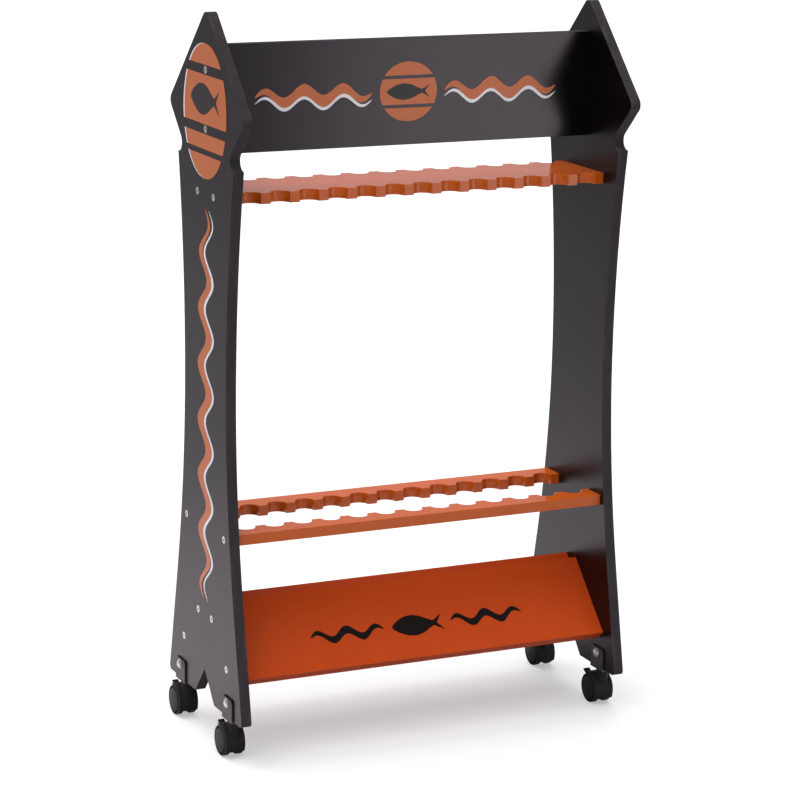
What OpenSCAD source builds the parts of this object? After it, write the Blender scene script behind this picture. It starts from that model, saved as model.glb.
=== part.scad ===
// Double-sided fishing rod rack on four braked swivel casters.
// Two diamond-headed side panels carry a header board, a notched upper rest,
// two notched lower slats and two sloping boards for the rod butts.
// X runs across the rack, -Y is the front and Z = 0 is the floor.

/* [Rack] */
// Overall width over the two side panels
rack_w = 630; // [600:5:720]
// Thickness of a side panel
panel_t = 16; // [12:1:22]
// Thickness of every board between the panels
board_t = 16; // [12:1:20]

/* [Side panel outline] */
// Height of the diamond's centre above the foot
head_z = 878.6; // [864:0.2:890]
// Half diagonal of the diamond head before its corners are rounded
head_half = 146.2; // [130:0.2:150]
// Corner radius of the diamond head
head_r = 11.5; // [6:0.5:16]
// Height of the shoulder below the diamond
shoulder_z = 807; // [800:1:815]
// Half depth of the panel at the shoulder
shoulder_half = 109; // [104:1:120]
// Radius of the throat between diamond and shoulder
throat_r = 14; // [10:0.5:16]
// Height of the waist, where the panel is narrowest
waist_z = 484; // [440:1:520]
// Half depth of the panel at the waist
waist_half = 82; // [76:1:90]
// Half depth of the panel at the foot
foot_half = 148.5; // [144:0.5:160]
// Length of the straight flare above the foot corner
flare_len = 177; // [120:1:220]
// Corner radius of the feet
foot_r = 7; // [2:0.5:9]
// Half width of the cut-out between the feet
arch_half = 38; // [30:1:44]
// Height of the cut-out between the feet
arch_h = 45; // [35:1:60]

/* [Header board] */
// Height of the header board
header_h = 157; // [140:1:165]
// Height of its lower edge above the foot
header_z = 817; // [812:1:825]
// Distance from its upper and lower edge to the screws
header_screw_inset = 36; // [20:1:50]

/* [Rod notches] */
// Number of notches in a row
notch_count = 13; // [9:1:13]
// Radius of a notch
notch_r = 15; // [12:0.5:16]
// Width of the last tooth at each end of a row
end_tooth = 14; // [10:0.5:24]

/* [Upper rod rest] */
// Depth of the upper rest from front to back
rest_depth = 128; // [122:1:136]
// Height of its upper face above the foot
rest_z = 767.5; // [740:0.5:785]
// Distance from its middle to each screw
rest_screw_y = 31.5; // [20:0.5:38]

/* [Lower slats] */
// Depth of one slat from front to back
slat_w = 40; // [34:1:42]
// Distance from the middle of the rack to a slat's notched edge
slat_inner = 47.5; // [45:0.5:50]
// Height of the upper face above the foot
slat_z = 273; // [250:1:300]

/* [Sloping butt boards] */
// Length of a board down its slope
butt_len = 134; // [124:1:138]
// Slope of a board below level
butt_angle = 45; // [42:1:47]
// Gap between the two boards under the ridge
ridge_gap = 7; // [2:0.5:14]
// Height of the upper ridge edges above the foot
ridge_z = 153.9; // [150:0.1:165]
// Distance from each long edge to the screws
butt_screw_inset = 25; // [18:1:32]

/* [Panel screws] */
// Diameter of a countersunk screw head
screw_head_d = 11; // [9:0.5:12]
// Diameter of the shank in the panel
screw_d = 7; // [5:0.5:7.5]
// Diameter of the thread in the board
screw_core_d = 5; // [3.5:0.5:5]
// Length of thread in the board
screw_grip = 34; // [20:1:45]
// Width across the corners of the hex socket
socket_d = 5; // [3:0.5:6]
// Depth of the hex socket
socket_depth = 3; // [1:0.5:4]

/* [Caster bracket] */
// Distance from the foot's outer edge to the swivel axis
caster_inset = 52.5; // [46:0.5:60]
// Width of a bracket plate from front to back
plate_w = 38; // [32:1:46]
// Height of a plate above the foot of the panel
plate_h = 32; // [30:1:36]
// Thickness of the plates
plate_t = 2.5; // [2:0.1:3.5]
// Thickness of the base under the panel
base_t = 3; // [3:0.1:4]
// Corner radius of the plates
plate_r = 6; // [2:0.5:9]
// Height of the clamp bolt above the foot
bolt_z = 23.5; // [20:0.5:24]
// Diameter of the clamp bolt
bolt_d = 6; // [5:0.5:8]
// Diameter of its round head and of its cap nut
bolt_head_d = 11; // [10:0.5:13]
// Height of the head and of the cap nut
bolt_head_h = 3.4; // [3:0.1:5]
// Diameter of the washers
washer_d = 14; // [13:0.5:17]
// Thickness of the washers
washer_t = 1.2; // [0.8:0.1:2]

/* [Caster wheels] */
// Diameter of a wheel
wheel_d = 46; // [44:1:50]
// Width of a wheel over its tread
wheel_w = 10; // [9:0.5:12]
// Gap between the two wheels
wheel_gap = 11; // [10:0.1:13]
// Distance that the axle trails behind the swivel axis
trail = 15.5; // [14:0.5:17]
// Thickness of the tread ring
tread_t = 3.5; // [3:0.5:5]
// Radius of the tread's shoulders
tread_r = 2.2; // [1:0.1:2.9]
// Height of the domed wheel face above the tread's side
dome_h = 1.8; // [1:0.1:3]
// Thickness of the wheel face
face_t = 3; // [2:0.1:3.6]
// Width of the groove around the domed face
groove_w = 1.2; // [0.6:0.1:2]
// Depth of that groove
groove_depth = 0.6; // [0.3:0.1:1.5]
// Diameter of the wheel's hub
hub_d = 13; // [10:0.5:16]
// Diameter of the axle
axle_d = 5; // [4:0.5:6]

/* [Caster hood] */
// Thickness of the hood's wall
hood_t = 1.4; // [1.2:0.1:2]
// Running gap between a wheel's tread and the hood
hood_gap = 0.8; // [0.6:0.1:1.4]
// Distance from a wheel's outer side to the hood's edge
hood_inset = 0.5; // [0.2:0.1:2]
// Angle from level at which the hood ends at the rear
hood_rear_angle = 64; // [60:1:68]
// Angle below level at which the hood ends at the front
hood_front_angle = 31; // [20:1:36]
// Diameter of the swivel socket
socket_boss_d = 18; // [15:0.5:19]
// Height of the swivel socket above the hood
boss_rise = 10; // [8:0.1:12]
// Diameter of the kingpin
kingpin_d = 6; // [5:0.1:6.2]
// Depth of the kingpin in its socket
kingpin_grip = 18; // [12:0.5:20]
// Diameter of the kingpin's countersunk head
kingpin_head_d = 10; // [8:0.5:12]

/* [Caster brake] */
// Distance from the axle back to the brake pin
brake_pin_y = 11; // [10.5:0.1:11.5]
// Height of the brake pin above the axle
brake_pin_z = 15.5; // [15:0.1:16]
// Diameter of the brake pin
brake_pin_d = 3; // [2.5:0.1:3.2]
// Wall of the ears around the brake pin
ear_wall = 2.5; // [2:0.1:3]
// Thickness of the pedal's tongue between its ears
tongue_t = 4; // [3:0.1:4.5]
// Wall of the tongue around the brake pin
tongue_wall = 2.2; // [1.5:0.1:2.4]
// Width of the pedal's foot pad
pad_w = 9; // [7:0.5:12]
// Distance from the brake pin to the front of the pad
pad_start = 15.5; // [15:0.1:17]
// Height of the pad's front edge above the brake pin
pad_z = 1; // [0:0.1:2]
// Length of the pad up its slope
pad_len = 8.8; // [7:0.1:10]
// Thickness of the pad
pad_t = 3.6; // [3:0.1:4]
// Rise of the pad towards its end
pad_rise = 26; // [18:1:30]
// Diameter of the brake shoe that lies across both treads
shoe_d = 3.4; // [3:0.1:4]
// Length of the brake shoe
shoe_w = 20; // [17:0.5:26]
// Gap between the shoe and the treads while the brake is off
shoe_gap = 1; // [0.6:0.1:1.5]
// Angle from level at which the shoe lies, seen from the axle
shoe_angle = 48; // [46:1:50]

/* [Fits] */
// Radial gap of a fastener in its hole
hole_gap = 0.1; // [0.05:0.01:0.3]
// Radial gap of a pin that turns in its bore
run_gap = 0.05; // [0.02:0.01:0.09]
// Gap between faces that slide past each other
side_gap = 0.3; // [0.2:0.05:0.5]
// Gap between a bracket plate and its panel
clamp_gap = 0.1; // [0.02:0.01:0.2]

/* [Hidden] */

$fn = 64;
// Segments on the long arcs of the panel outline
long_fn = 720;
// Overrun of a cut past the face that it leaves
cut = 1;
// Depth of hole left free beyond the end of a screw
tip_room = 1;
// Wall of the web around the axle, beyond a wheel's hub
collar_wall = 1;
// Overlap of the pedal's tongue into its pad
tongue_lap = 1;
// Depth by which the throat's circle bites into the edges that it joins
throat_bite = 0.05;
// Depth by which the pedal's slot cuts past the outline of the ears
ear_bite = 0.1;
// Least wall of a screw's shank around its socket
socket_wall = 0.5;

panel_black = [0.24, 0.24, 0.25];
board_orange = [0.80, 0.38, 0.20];
caster_black = [0.10, 0.10, 0.11];
screw_silver = [0.78, 0.78, 0.80];

// Heights above the floor, from the wheels up
axle_z = wheel_d / 2;
hood_r = wheel_d / 2 + hood_gap + hood_t;
boss_top = axle_z + hood_r + boss_rise;
base_z = boss_top + side_gap;
foot_z = base_z + base_t;

inner_w = rack_w - 2 * panel_t;
notch_pitch = (inner_w - 2 * end_tooth - 2 * notch_r) / (notch_count - 1);
caster_x = rack_w / 2 - panel_t / 2;
caster_y = foot_half - caster_inset;
wheel_x = wheel_gap / 2 + wheel_w / 2;
web_t = wheel_gap - 2 * side_gap;
plate_gap = panel_t + 2 * clamp_gap;
plate_x = plate_gap / 2 + plate_t;

// Where each screw meets a side panel, as depth and height above the foot
slat_screw_y = slat_inner + notch_r + (slat_w - notch_r) / 2;
ridge_y = ridge_gap / 2 + board_t * sin(butt_angle);
function butt_spot(s) = [
  ridge_y + s * cos(butt_angle) - board_t / 2 * sin(butt_angle),
  ridge_z - s * sin(butt_angle) - board_t / 2 * cos(butt_angle)
];
half_spots = [
  [rest_screw_y, rest_z - board_t / 2],
  [slat_screw_y, slat_z - board_t / 2],
  butt_spot(butt_screw_inset),
  butt_spot(butt_len - butt_screw_inset)
];
screw_spots = concat(
  [[0, header_z + header_screw_inset], [0, header_z + header_h - header_screw_inset]],
  half_spots,
  [for (s = half_spots) [-s[0], s[1]]]
);
screw_head_h = (screw_head_d - screw_d) / 2;

// Stands a profile drawn as depth and height upright, extruded along +X
module upright(t) {
  rotate([90, 0, 90])
    linear_extrude(t) children();
}

// Lays a cylinder along +X
module rod_x(d, l) {
  rotate([0, 90, 0])
    cylinder(d = d, h = l);
}

// The sliver outside a rounded corner at p, whose edges leave along a and b
module corner_sliver(p, a, b, r) {
  half = acos(a * b) / 2;
  run = r / tan(half);
  middle = p + (a + b) / norm(a + b) * r / sin(half);
  difference() {
    polygon([p - (a + b) * cut, p + a * run, middle, p + b * run]);
    translate(middle) circle(r);
  }
}

/* Side panels */

module diamond_outline() {
  side = head_half * sqrt(2);
  translate([0, head_z]) rotate(45) {
    square([side, side - 2 * head_r], center = true);
    square([side - 2 * head_r, side], center = true);
    for (x = [-1, 1], y = [-1, 1])
      translate([x, y] * (side / 2 - head_r)) circle(head_r);
  }
}

// The middle of the throat's circle, which touches the diamond's side and the shoulder
function throat_middle() = [
  head_half - head_z + shoulder_z + throat_r * (1 + sqrt(2)),
  shoulder_z + throat_r
];

// One half of the body, with its waist and flare and the fill below the throat's circle
module body_half_outline() {
  spread = foot_half - waist_half;
  flare_r = (spread * spread + waist_z * waist_z - flare_len * flare_len) / (2 * spread);
  flare_middle = [waist_half + flare_r, waist_z];
  lean = atan2(waist_z, flare_middle[0] - foot_half)
    + asin(flare_r / norm([flare_r, flare_len]));
  flare_way = [cos(lean), sin(lean)];
  flare_top = [foot_half, 0] + flare_way * flare_len;
  rise = shoulder_z - waist_z;
  step = shoulder_half - waist_half;
  breast_r = (rise * rise + step * step) / (2 * step);
  middle = throat_middle();
  touch = middle + [-1, 1] * throat_r / sqrt(2);
  inside = throat_r / 8;
  difference() {
    polygon([
      [0, 0], [foot_half, 0], flare_top, [flare_top[0], waist_z],
      [shoulder_half, waist_z], [shoulder_half, shoulder_z + inside],
      [middle[0], shoulder_z + inside], touch + [inside, 0], [0, touch[1]]
    ]);
    intersection() {
      translate(flare_middle) circle(flare_r, $fn = long_fn * 2);
      translate([0, flare_top[1]]) square([foot_half, waist_z - flare_top[1]]);
    }
    intersection() {
      translate([waist_half + breast_r, waist_z]) circle(breast_r, $fn = long_fn * 2);
      translate([0, waist_z]) square([foot_half, rise + cut]);
    }
    corner_sliver([foot_half, 0], [-1, 0], flare_way, foot_r);
    polygon([[0, -cut], [arch_half + cut * arch_half / arch_h, -cut], [0, arch_h]]);
  }
}

module panel_outline() {
  difference() {
    union() {
      diamond_outline();
      for (m = [0, 1]) mirror([m, 0]) body_half_outline();
    }
    for (m = [0, 1]) mirror([m, 0])
      translate(throat_middle() - [throat_bite, throat_bite]) circle(throat_r);
  }
}

// A side panel with its outer face at X = 0 and its foot at Z = 0
module side_panel() {
  difference() {
    upright(panel_t) panel_outline();
    for (s = screw_spots) translate([0, s[0], s[1]]) {
      translate([-cut, 0, 0]) rod_x(screw_d + 2 * hole_gap, panel_t + 2 * cut);
      rotate([0, 90, 0]) cylinder(d1 = screw_head_d, d2 = screw_d, h = screw_head_h);
      translate([-cut, 0, 0]) rod_x(screw_head_d, cut);
    }
    for (side = [-1, 1]) translate([-cut, side * caster_y, bolt_z])
      rod_x(bolt_d + 2 * hole_gap, panel_t + 2 * cut);
  }
}

module left_side_panel() {
  color(panel_black) translate([-rack_w / 2, 0, foot_z]) side_panel();
}

module right_side_panel() {
  mirror([1, 0, 0]) left_side_panel();
}

// A countersunk screw whose head is flush with X = 0
module panel_screw() {
  socket_end = min(socket_depth, panel_t / 2);
  difference() {
    union() {
      rotate([0, 90, 0]) cylinder(d1 = screw_head_d, d2 = screw_d, h = screw_head_h);
      rod_x(screw_d, panel_t);
      rod_x(screw_core_d, panel_t + screw_grip);
    }
    translate([-cut, 0, 0]) rotate([0, 90, 0])
      cylinder(d = min(socket_d, screw_d - 2 * socket_wall), h = socket_end + cut, $fn = 6);
  }
}

module left_panel_screws() {
  color(screw_silver) translate([-rack_w / 2, 0, foot_z])
    for (s = screw_spots) translate([0, s[0], s[1]]) panel_screw();
}

module right_panel_screws() {
  mirror([1, 0, 0]) left_panel_screws();
}

// Pilot holes at both ends of a board, at one place of its end faces
module end_pilots(y, z) {
  depth = screw_grip + tip_room;
  for (m = [0, 1]) mirror([m, 0, 0]) translate([inner_w / 2 - depth, y, z])
    rod_x(screw_core_d + 2 * hole_gap, depth + cut);
}

/* Boards between the panels */

module header_board() {
  color(panel_black) translate([0, 0, foot_z + header_z]) difference() {
    translate([-inner_w / 2, -board_t / 2, 0]) cube([inner_w, board_t, header_h]);
    end_pilots(0, header_screw_inset);
    end_pilots(0, header_h - header_screw_inset);
  }
}

// The row of round notches along an edge that lies at depth y
module notch_row(y) {
  for (i = [0 : notch_count - 1])
    translate([(i - (notch_count - 1) / 2) * notch_pitch, y, -cut])
      cylinder(r = notch_r, h = board_t + 2 * cut);
}

module upper_rod_rest() {
  color(board_orange) translate([0, 0, foot_z + rest_z - board_t]) difference() {
    translate([-inner_w / 2, -rest_depth / 2, 0]) cube([inner_w, rest_depth, board_t]);
    for (side = [-1, 1]) {
      notch_row(side * rest_depth / 2);
      end_pilots(side * rest_screw_y, board_t / 2);
    }
  }
}

module rear_lower_slat() {
  color(board_orange) translate([0, 0, foot_z + slat_z - board_t]) difference() {
    translate([-inner_w / 2, slat_inner, 0]) cube([inner_w, slat_w, board_t]);
    notch_row(slat_inner);
    end_pilots(slat_screw_y, board_t / 2);
  }
}

module front_lower_slat() {
  mirror([0, 1, 0]) rear_lower_slat();
}

// The rod butts stand on the upper face of this board
module rear_butt_board() {
  color(board_orange) translate([0, ridge_y, foot_z + ridge_z]) rotate([-butt_angle, 0, 0])
    difference() {
      translate([-inner_w / 2, 0, -board_t]) cube([inner_w, butt_len, board_t]);
      end_pilots(butt_screw_inset, -board_t / 2);
      end_pilots(butt_len - butt_screw_inset, -board_t / 2);
    }
}

module front_butt_board() {
  mirror([0, 1, 0]) rear_butt_board();
}

/* Caster pieces, each drawn about its swivel axis with the wheels behind it */

module plate_outline() {
  top = foot_z + plate_h;
  translate([-plate_w / 2, base_z]) square([plate_w, top - plate_r - base_z]);
  translate([-plate_w / 2 + plate_r, base_z]) square([plate_w - 2 * plate_r, top - base_z]);
  for (side = [-1, 1])
    translate([side * (plate_w / 2 - plate_r), top - plate_r]) circle(plate_r);
}

// Two plates that grip the panel from both faces, joined by a base under its foot
module bracket() {
  head_h = (kingpin_head_d - kingpin_d) / 2;
  color(caster_black) difference() {
    union() {
      translate([-plate_x, 0, 0]) upright(plate_t) plate_outline();
      translate([plate_gap / 2, 0, 0]) upright(plate_t) plate_outline();
      translate([-plate_x, -plate_w / 2, base_z]) cube([2 * plate_x, plate_w, base_t]);
    }
    translate([-plate_x - cut, 0, foot_z + bolt_z])
      rod_x(bolt_d + 2 * hole_gap, 2 * (plate_x + cut));
    translate([0, 0, base_z - cut]) cylinder(d = kingpin_d + 2 * hole_gap, h = base_t + 2 * cut);
    translate([0, 0, foot_z - head_h]) cylinder(d1 = kingpin_d, d2 = kingpin_head_d, h = head_h);
    translate([0, 0, foot_z]) cylinder(d = kingpin_head_d, h = cut);
  }
}

// A low domed head on a washer, with the washer's face at X = 0 and the dome towards -X
module domed_head() {
  rise = bolt_head_h / 2;
  dome_r = (bolt_head_d * bolt_head_d / 4 + rise * rise) / (2 * rise);
  translate([-washer_t, 0, 0]) rod_x(washer_d, washer_t);
  translate([-washer_t - rise, 0, 0]) rod_x(bolt_head_d, rise);
  intersection() {
    translate([-washer_t - bolt_head_h + dome_r, 0, 0]) sphere(dome_r);
    translate([-washer_t - bolt_head_h, 0, 0]) rod_x(bolt_head_d, bolt_head_h);
  }
}

// The bolt's head lies on the outer plate, side = -1 on a left caster and 1 on a right one
module clamp_bolt(side) {
  tip = plate_x + washer_t + bolt_head_h / 2;
  color(screw_silver) translate([0, 0, foot_z + bolt_z]) mirror([side > 0 ? 1 : 0, 0, 0]) {
    translate([-plate_x, 0, 0]) domed_head();
    translate([-plate_x - washer_t, 0, 0]) rod_x(bolt_d, plate_x + washer_t + tip);
  }
}

module clamp_nut(side) {
  color(screw_silver) translate([0, 0, foot_z + bolt_z]) mirror([side > 0 ? 1 : 0, 0, 0])
    difference() {
      translate([plate_x, 0, 0]) mirror([1, 0, 0]) domed_head();
      translate([plate_x - cut, 0, 0])
        rod_x(bolt_d + 2 * hole_gap, cut + washer_t + bolt_head_h / 2 + hole_gap);
    }
}

// Riveted into the base, and turning in the hood's socket
module kingpin() {
  head_h = (kingpin_head_d - kingpin_d) / 2;
  color(screw_silver) {
    translate([0, 0, boss_top - kingpin_grip])
      cylinder(d = kingpin_d, h = foot_z - boss_top + kingpin_grip);
    translate([0, 0, foot_z - head_h]) cylinder(d1 = kingpin_d, d2 = kingpin_head_d, h = head_h);
  }
}

// The sector of a disc, seen from +X, that the hood covers from its rear over the top
module hood_sector() {
  steps = 3;
  span = 180 + hood_front_angle - hood_rear_angle;
  intersection() {
    circle(hood_r);
    polygon(concat([[0, 0]], [
      for (i = [0 : steps]) let (a = hood_rear_angle + i * span / steps)
        2 * hood_r * [cos(a), sin(a)]
    ]));
  }
}

// The slot in the web in which the pedal's tongue swings
module pedal_room() {
  room = brake_pin_d / 2 + max(tongue_wall + side_gap, ear_wall + ear_bite);
  circle(room);
  translate([0, -2 * room]) square([wheel_d, 3 * room]);
}

// A one-piece hood: a fender over both wheels, a web between them and the swivel socket
module hood() {
  half_w = wheel_gap / 2 + wheel_w - hood_inset;
  room_r = wheel_d / 2 + hood_gap;
  ear_r = brake_pin_d / 2 + ear_wall;
  pin = [brake_pin_y, brake_pin_z];
  color(caster_black) difference() {
    union() {
      translate([-half_w, trail, axle_z]) upright(2 * half_w) hood_sector();
      translate([-web_t / 2, trail, axle_z]) upright(web_t) {
        circle(hub_d / 2 + collar_wall);
        translate(pin) circle(ear_r);
        polygon([[0, 0], pin + [1, -1] * ear_r / 2, pin, [0, room_r]]);
      }
      translate([0, 0, axle_z]) cylinder(d = socket_boss_d, h = boss_top - axle_z);
    }
    for (m = [0, 1]) mirror([m, 0, 0])
      translate([web_t / 2, trail, axle_z]) rod_x(2 * room_r, hood_r);
    translate([-web_t, trail, axle_z]) rod_x(axle_d + 2 * run_gap, 2 * web_t);
    translate([0, 0, boss_top - kingpin_grip - side_gap])
      cylinder(d = kingpin_d + 2 * run_gap, h = kingpin_grip + side_gap + cut);
    translate([0, trail, axle_z]) {
      translate([-web_t, pin[0], pin[1]]) rod_x(brake_pin_d + 2 * hole_gap, 2 * web_t);
      translate([-tongue_t / 2 - side_gap, pin[0], pin[1]])
        upright(tongue_t + 2 * side_gap) pedal_room();
    }
  }
}

module axle() {
  half = wheel_gap / 2 + wheel_w - face_t - side_gap;
  color(screw_silver) translate([-half, trail, axle_z]) rod_x(axle_d, 2 * half);
}

// Half section of a wheel, drawn as radius and distance from its inner side
module wheel_section() {
  r = wheel_d / 2;
  bore = axle_d / 2 + run_gap;
  dome_half = r - tread_t;
  dome_r = (dome_half * dome_half + dome_h * dome_h) / (2 * dome_h);
  difference() {
    union() {
      translate([r - tread_t, tread_r]) square([tread_t, wheel_w - 2 * tread_r]);
      translate([r - tread_t, 0]) square([tread_t - tread_r, wheel_w]);
      for (y = [tread_r, wheel_w - tread_r]) translate([r - tread_r, y]) circle(tread_r);
      translate([0, wheel_w - face_t]) square([dome_half, face_t]);
      translate([bore, 0]) square([hub_d / 2 - bore, wheel_w - face_t]);
      intersection() {
        translate([0, wheel_w + dome_h - dome_r]) circle(dome_r, $fn = long_fn / 2);
        translate([0, wheel_w - face_t / 2]) square([dome_half, face_t + dome_h]);
      }
    }
    translate([0, -cut]) square([bore, wheel_w - face_t + cut]);
    translate([dome_half - groove_w, wheel_w - groove_depth]) square([groove_w, cut + dome_h]);
  }
}

// side = 1 for the wheel whose face looks along +X and -1 for the other
module wheel(side) {
  color(caster_black) mirror([side < 0 ? 1 : 0, 0, 0]) translate([wheel_gap / 2, trail, axle_z])
    rotate([0, 90, 0]) rotate_extrude() wheel_section();
}

module brake_pin() {
  color(screw_silver) translate([-web_t / 2, trail + brake_pin_y, axle_z + brake_pin_z])
    rod_x(brake_pin_d, web_t);
}

// A pedal that turns on the brake pin and presses its shoe on both treads
module brake_pedal() {
  hub_r = brake_pin_d / 2 + tongue_wall;
  lap_y = pad_start + tongue_lap;
  shoe_from_axle = wheel_d / 2 + shoe_gap + shoe_d / 2;
  shoe = shoe_from_axle * [cos(shoe_angle), sin(shoe_angle)] - [brake_pin_y, brake_pin_z];
  color(caster_black) translate([0, trail + brake_pin_y, axle_z + brake_pin_z]) difference() {
    union() {
      translate([-tongue_t / 2, 0, 0]) upright(tongue_t) {
        circle(hub_r);
        polygon([
          [0, -hub_r], [0, hub_r], shoe + [0, shoe_d / 2],
          [lap_y, pad_z], [lap_y, pad_z - pad_t / 2]
        ]);
      }
      translate([-shoe_w / 2, shoe[0], shoe[1]]) rod_x(shoe_d, shoe_w);
      translate([-pad_w / 2, pad_start, pad_z]) upright(pad_w) rotate(pad_rise) {
        translate([0, -pad_t]) square([pad_len - pad_t / 2, pad_t]);
        translate([pad_len - pad_t / 2, -pad_t / 2]) circle(pad_t / 2);
      }
    }
    translate([-tongue_t, 0, 0]) rod_x(brake_pin_d + 2 * run_gap, 2 * tongue_t);
  }
}

/* The four casters */

module front_left() {
  translate([-caster_x, -caster_y, 0]) children();
}

module front_right() {
  translate([caster_x, -caster_y, 0]) children();
}

module rear_left() {
  translate([-caster_x, caster_y, 0]) children();
}

module rear_right() {
  translate([caster_x, caster_y, 0]) children();
}

module front_left_bracket() { front_left() bracket(); }
module front_left_clamp_bolt() { front_left() clamp_bolt(-1); }
module front_left_clamp_nut() { front_left() clamp_nut(-1); }
module front_left_kingpin() { front_left() kingpin(); }
module front_left_hood() { front_left() hood(); }
module front_left_axle() { front_left() axle(); }
module front_left_outer_wheel() { front_left() wheel(-1); }
module front_left_inner_wheel() { front_left() wheel(1); }
module front_left_brake_pin() { front_left() brake_pin(); }
module front_left_brake_pedal() { front_left() brake_pedal(); }

module front_right_bracket() { front_right() bracket(); }
module front_right_clamp_bolt() { front_right() clamp_bolt(1); }
module front_right_clamp_nut() { front_right() clamp_nut(1); }
module front_right_kingpin() { front_right() kingpin(); }
module front_right_hood() { front_right() hood(); }
module front_right_axle() { front_right() axle(); }
module front_right_outer_wheel() { front_right() wheel(1); }
module front_right_inner_wheel() { front_right() wheel(-1); }
module front_right_brake_pin() { front_right() brake_pin(); }
module front_right_brake_pedal() { front_right() brake_pedal(); }

module rear_left_bracket() { rear_left() bracket(); }
module rear_left_clamp_bolt() { rear_left() clamp_bolt(-1); }
module rear_left_clamp_nut() { rear_left() clamp_nut(-1); }
module rear_left_kingpin() { rear_left() kingpin(); }
module rear_left_hood() { rear_left() hood(); }
module rear_left_axle() { rear_left() axle(); }
module rear_left_outer_wheel() { rear_left() wheel(-1); }
module rear_left_inner_wheel() { rear_left() wheel(1); }
module rear_left_brake_pin() { rear_left() brake_pin(); }
module rear_left_brake_pedal() { rear_left() brake_pedal(); }

module rear_right_bracket() { rear_right() bracket(); }
module rear_right_clamp_bolt() { rear_right() clamp_bolt(1); }
module rear_right_clamp_nut() { rear_right() clamp_nut(1); }
module rear_right_kingpin() { rear_right() kingpin(); }
module rear_right_hood() { rear_right() hood(); }
module rear_right_axle() { rear_right() axle(); }
module rear_right_outer_wheel() { rear_right() wheel(1); }
module rear_right_inner_wheel() { rear_right() wheel(-1); }
module rear_right_brake_pin() { rear_right() brake_pin(); }
module rear_right_brake_pedal() { rear_right() brake_pedal(); }

left_side_panel();
right_side_panel();
header_board();
upper_rod_rest();
front_lower_slat();
rear_lower_slat();
front_butt_board();
rear_butt_board();
left_panel_screws();
right_panel_screws();
front_left_bracket();
front_left_clamp_bolt();
front_left_clamp_nut();
front_left_kingpin();
front_left_hood();
front_left_axle();
front_left_outer_wheel();
front_left_inner_wheel();
front_left_brake_pin();
front_left_brake_pedal();
front_right_bracket();
front_right_clamp_bolt();
front_right_clamp_nut();
front_right_kingpin();
front_right_hood();
front_right_axle();
front_right_outer_wheel();
front_right_inner_wheel();
front_right_brake_pin();
front_right_brake_pedal();
rear_left_bracket();
rear_left_clamp_bolt();
rear_left_clamp_nut();
rear_left_kingpin();
rear_left_hood();
rear_left_axle();
rear_left_outer_wheel();
rear_left_inner_wheel();
rear_left_brake_pin();
rear_left_brake_pedal();
rear_right_bracket();
rear_right_clamp_bolt();
rear_right_clamp_nut();
rear_right_kingpin();
rear_right_hood();
rear_right_axle();
rear_right_outer_wheel();
rear_right_inner_wheel();
rear_right_brake_pin();
rear_right_brake_pedal();
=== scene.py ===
"""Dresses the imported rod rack: laminated panels, lacquered boards, print, casters and a pale studio."""

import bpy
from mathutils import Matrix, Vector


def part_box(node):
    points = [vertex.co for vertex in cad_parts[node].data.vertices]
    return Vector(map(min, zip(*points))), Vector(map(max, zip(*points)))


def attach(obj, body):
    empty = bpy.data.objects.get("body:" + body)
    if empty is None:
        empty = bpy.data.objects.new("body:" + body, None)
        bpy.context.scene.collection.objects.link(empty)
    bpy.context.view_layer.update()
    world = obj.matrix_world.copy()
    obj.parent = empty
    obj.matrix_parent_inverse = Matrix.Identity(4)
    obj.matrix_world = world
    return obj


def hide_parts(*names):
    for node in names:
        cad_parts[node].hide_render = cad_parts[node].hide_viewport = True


bl_info = {
    "name": "Rod rack",
    "version": (1, 0, 0),
    "blender": (4, 5, 0),
    "location": "View3D > Sidebar > Rod rack",
    "description": "Finishes, printed motifs and studio for a fishing rod rack on casters",
    "category": "Object",
}

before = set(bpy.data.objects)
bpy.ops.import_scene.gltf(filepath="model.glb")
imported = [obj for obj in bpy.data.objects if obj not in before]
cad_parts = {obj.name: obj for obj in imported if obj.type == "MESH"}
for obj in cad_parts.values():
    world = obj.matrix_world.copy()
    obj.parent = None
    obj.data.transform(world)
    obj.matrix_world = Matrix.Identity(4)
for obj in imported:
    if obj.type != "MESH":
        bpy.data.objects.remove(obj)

import math

import bmesh
import bpy
from bpy.props import FloatProperty, FloatVectorProperty, PointerProperty
from mathutils import Matrix, Vector

FRAME_BODY = "frame"
CORNERS = ("front_left", "front_right", "rear_left", "rear_right")

X_AXIS = Vector((1, 0, 0))
Y_AXIS = Vector((0, 1, 0))
Z_AXIS = Vector((0, 0, 1))

# The ways that the two butt boards' faces look, at 45 degrees.
FRONT_SLOPE = (Z_AXIS - Y_AXIS).normalized()
REAR_SLOPE = (Z_AXIS + Y_AXIS).normalized()

# Merging and edge finding on copies of the CAD boards.
MERGE_DISTANCE = 1e-6
FLAT_ANGLE = math.radians(0.5)
SHARP_ANGLE = math.radians(30)
SHADE_SPLIT = math.radians(50)
SAME_NORMAL = 0.003
NORMAL_DIGITS = 3
EDGE_SEGMENTS = 2

# How squarely a surface looks along its board's axis, for the face and for the corner beside it.
FACE_ON = (0.95, 0.99)
EDGE_ON = (0.05, 0.2)

# How squarely a wheel's surface looks along its axle: off the tread, on the seam and on the domed face, for
# the painted highlight on the shoulders and the painted shade in the seam.
OFF_TREAD = (0.2, 0.45)
ON_SEAM = (0.3, 0.5)
ON_DOME = (0.7, 0.92)

# How softly the painted shade in a wheel's seam starts and ends, as a share of its radius.
SEAM_FADE = 0.02

# How strongly each finish mirrors, as the shader's specular level.
PANEL_GLOSS = 0.25
HEADER_GLOSS = 0.35
LACQUER_GLOSS = 0.33
COAT_GLOSS = 0.6
PLASTIC_GLOSS = 0.1
WHEEL_GLOSS = 0.12
FILM_GLOSS = 0.4
PLATE_METALLIC = 0.7

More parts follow.
